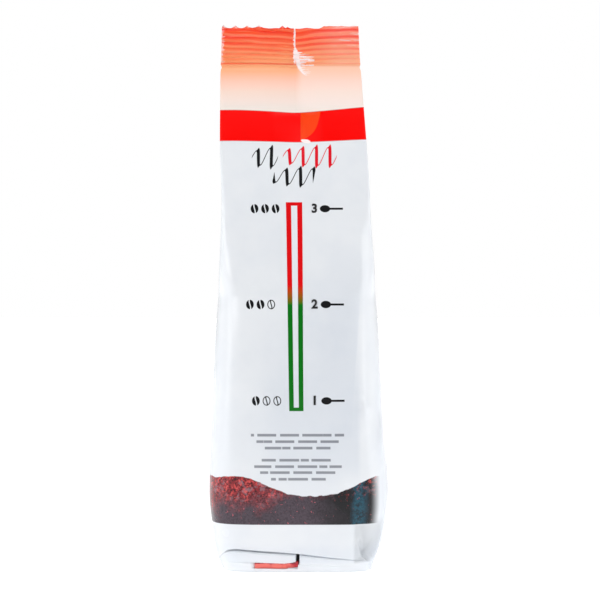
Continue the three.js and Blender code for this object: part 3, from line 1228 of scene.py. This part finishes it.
def add_base_seal(material):
    """The base seal: a strip folded flat under the left lip, whose ends show at the front and the
    back."""
    bm = bmesh.new()
    bmesh.ops.create_cube(bm, size=2)
    subdivide_along(bm, 0, 36)
    subdivide_along(bm, 2, 10)
    for vert in bm.verts:
        u, v, w = vert.co
        x = between(u, -1, 1, BASE_SEAL["left"], BASE_SEAL["right"])
        z = between(w, -1, 1, BASE_SEAL["foot"], BASE_SEAL["top"])
        z += BASE_SEAL["turn_up"] * smoothstep(x, TURN_UP_START, BASE_SEAL["right"])
        depth = section_value("depth", z) * BELLY_DEPTH / 2 - BASE_SEAL["inset"]
        bow = 0.15 * math.sin(x * 0.55) + 0.15 * math.cos(w * math.pi)
        vert.co = Vector((x, v * (depth + bow), z)) * MM
    bm.normal_update()
    finish_piece(bm, "base_seal", material)


def base_seal_material():
    """The red foot of the film, squeezed by the base seal, with a painted shadow along its top edge
    under the lip.
    """
    material, place = new_material("sealed_red_film")
    x = place.part(0)
    cloud = place.noise(450.0, 3.0)
    up = place.part(2).share(BASE_SEAL["foot"] * MM, BASE_SEAL["top"] * MM)
    up = up + (cloud - 0.5) * 0.3
    red = x.rise(-6 * MM, -1 * MM).at_least(up.rise(0.74, 0.9)) + (cloud - 0.5) * 2.4
    colour = mix_colours(red.clamped(), srgb(238, 112, 102), srgb(190, 18, 40))
    # A painted shadow along the top edge, under the lip of the pocket, left of the seal's right
    # end.
    colour = mix_colours(up.rise(0.86, 0.98) * x.rise(0.0, -3 * MM), colour, srgb(84, 8, 24))
    relief = {"Strength": 0.4, "Distance": 0.2 * MM, "Height": cloud}
    bump = place.node("ShaderNodeBump", {}, relief)
    return set_shader(material, {"Base Color": colour, "Roughness": 0.4, "Normal": bump})


# Operators.


class BAG_OT_film(bpy.types.Operator):
    """Build the printed film of the bag"""

    bl_idname = "coffee_bag.film"
    bl_label = "Film"

    def execute(self, context):
        sizes = context.scene.bag_sizes
        rows = film_rows()
        bm = film_box(rows)
        shape_film(bm, rows, sizes)
        film = finish_piece(bm, "bag_film", film_material(context.scene.bag_colours))
        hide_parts(BAG_NODE)
        return {"FINISHED"}


class BAG_OT_figures(bpy.types.Operator):
    """Print the figures beside the strength scale"""

    bl_idname = "coffee_bag.figures"
    bl_label = "Figures"

    def execute(self, context):
        context.view_layer.update()
        add_numbers(ink_material(context.scene.bag_colours))
        return {"FINISHED"}


class BAG_OT_base_seal(bpy.types.Operator):
    """Fold the base seal under the left lip"""

    bl_idname = "coffee_bag.base_seal"
    bl_label = "Base seal"

    def execute(self, context):
        add_base_seal(base_seal_material())
        return {"FINISHED"}


# The stage.

# The camera's place is in metres, and its lens in millimetres.
CAMERA = {"distance": 0.9, "height": 0.1156, "side": 0.00044, "lens": 122.4}
# Each soft light's place and size in metres, and its power.
SOFTBOXES = (
    ("light_left", (-0.95, -0.3, 0.3), (0.4, 0.9), 2.9),
    ("light_right", (0.95, -0.3, 0.3), (0.4, 0.9), 3.7),
    ("light_front_left", (-0.9, -0.8, 0.6), (0.4, 0.5), 4.7),
    ("light_front_right", (0.9, -0.8, 0.6), (0.4, 0.5), 3.0),
    ("light_above", (0.0, -0.1, 1.3), (0.6, 0.4), 3.8),
)
# How bright the studio's white is behind the bag and on the camera's side, and the slope and start
# of the turn from one to the other. Seen directly the white is 1.
TENT = {"bright": 0.5, "dim": 0.03, "turn": (-2.2, -0.5)}
FLOOR_HALF = 12.0
# The floor is lit from below, so that it fades into the white behind the bag: a little round the
# bag, not at all before the front panel, and fully far away. As a backdrop it looks white.
FLOOR_GLOW = {
    "front": (-0.26, -0.11), "beyond": (-2.0, -5.0), "strength": (0.38, 0.85),
    "spread": (0.3, 1.6), "backdrop": (0.35, 0.8),
}


def add_softbox(name, place, size, power):
    """A rectangular soft light that looks at the middle of the bag."""
    data = bpy.data.lights.new(name, "AREA")
    data.shape = "RECTANGLE"
    data.size, data.size_y = size
    data.energy = power
    light = bpy.data.objects.new(name, data)
    light.location = place
    aim = Vector((0, 0, BAG_HEIGHT * MM / 2)) - light.location
    light.rotation_euler = aim.to_track_quat("-Z", "Y").to_euler()
    link(light)


def white_tent():
    """A white studio all round, dimmer on the side where the camera stands."""
    world = bpy.data.worlds.new("white_tent")
    world.use_nodes = True
    tree = world.node_tree
    ahead = Wire(tree, None).node("ShaderNodeTexCoord", output="Generated").part(1)
    dimmed = ahead.math("MULTIPLY_ADD", *TENT["turn"], clamp=True)
    seen = ahead.node("ShaderNodeLightPath", output="Is Camera Ray")
    strength = dimmed.along(TENT["bright"], TENT["dim"]).at_least(seen)
    inputs = {"Strength": strength, "Color": (1, 1, 1, 1)}
    set_inputs(tree, tree.nodes["Background"], inputs)
    return world


def floor_material():
    """The floor's pale, dull finish, lit from below."""
    material, place = new_material("pale_floor")
    ahead = place.part(1)
    settings = {"operation": "LENGTH"}
    distance = place.node("ShaderNodeVectorMath", settings, {0: place}, output="Value")
    lit = ahead.rise(*FLOOR_GLOW["front"]).at_least(ahead.rise(*FLOOR_GLOW["beyond"]))
    glow = distance.rise(*FLOOR_GLOW["spread"]).along(*FLOOR_GLOW["strength"]) * lit
    seen = place.node("ShaderNodeLightPath", output="Is Camera Ray")
    glow = glow.at_least(seen * distance.rise(*FLOOR_GLOW["backdrop"]))
    return set_shader(material, {
        "Base Color": (0.93, 0.93, 0.93, 1),
        "Roughness": 0.9,
        "Specular IOR Level": 0.1,
        "Emission Color": mix_colours(glow, (0, 0, 0), (1, 1, 1)),
        "Emission Strength": 1.0,
    })


def add_floor():
    """A wide pale floor."""
    bm = bmesh.new()
    bmesh.ops.create_grid(bm, x_segments=1, y_segments=1, size=FLOOR_HALF)
    floor = new_object(bm, "floor", floor_material())


def add_camera():
    """A long lens level with the middle of the bag."""
    data = bpy.data.cameras.new("camera")
    data.lens = CAMERA["lens"]
    camera = bpy.data.objects.new("camera", data)
    camera.location = (CAMERA["side"], -CAMERA["distance"], CAMERA["height"])
    camera.rotation_euler = (math.pi / 2, 0, 0)
    link(camera)
    bpy.context.scene.camera = camera


class BAG_OT_stage(bpy.types.Operator):
    """Set the floor, the soft lights and the camera"""

    bl_idname = "coffee_bag.stage"
    bl_label = "Stage"

    def execute(self, context):
        scene = context.scene
        scene.view_settings.view_transform = "Standard"
        scene.world = white_tent()
        add_floor()
        for softbox in SOFTBOXES:
            add_softbox(*softbox)
        add_camera()
        return {"FINISHED"}


class BAG_PT_panel(bpy.types.Panel):
    """The coffee bag's steps and settings"""

    bl_idname = "BAG_PT_panel"
    bl_label = "Coffee bag"
    bl_space_type = "VIEW_3D"
    bl_region_type = "UI"
    bl_category = "Coffee bag"

    def draw(self, context):
        for operator in OPERATORS:
            self.layout.operator(operator.bl_idname)
        for settings in (context.scene.bag_sizes, context.scene.bag_colours):
            for name in settings.__annotations__:
                self.layout.prop(settings, name)


OPERATORS = (BAG_OT_stage, BAG_OT_film, BAG_OT_base_seal, BAG_OT_figures)
CLASSES = (BagSizes, BagColours, *OPERATORS, BAG_PT_panel)


def register():
    for cls in CLASSES:
        bpy.utils.register_class(cls)
    bpy.types.Scene.bag_sizes = PointerProperty(type=BagSizes)
    bpy.types.Scene.bag_colours = PointerProperty(type=BagColours)


def unregister():
    del bpy.types.Scene.bag_colours
    del bpy.types.Scene.bag_sizes
    for cls in reversed(CLASSES):
        bpy.utils.unregister_class(cls)


def main():
    register()
    bpy.ops.coffee_bag.stage()
    bpy.ops.coffee_bag.film()
    bpy.ops.coffee_bag.base_seal()
    bpy.ops.coffee_bag.figures()


if __name__ == "__main__":
    main()
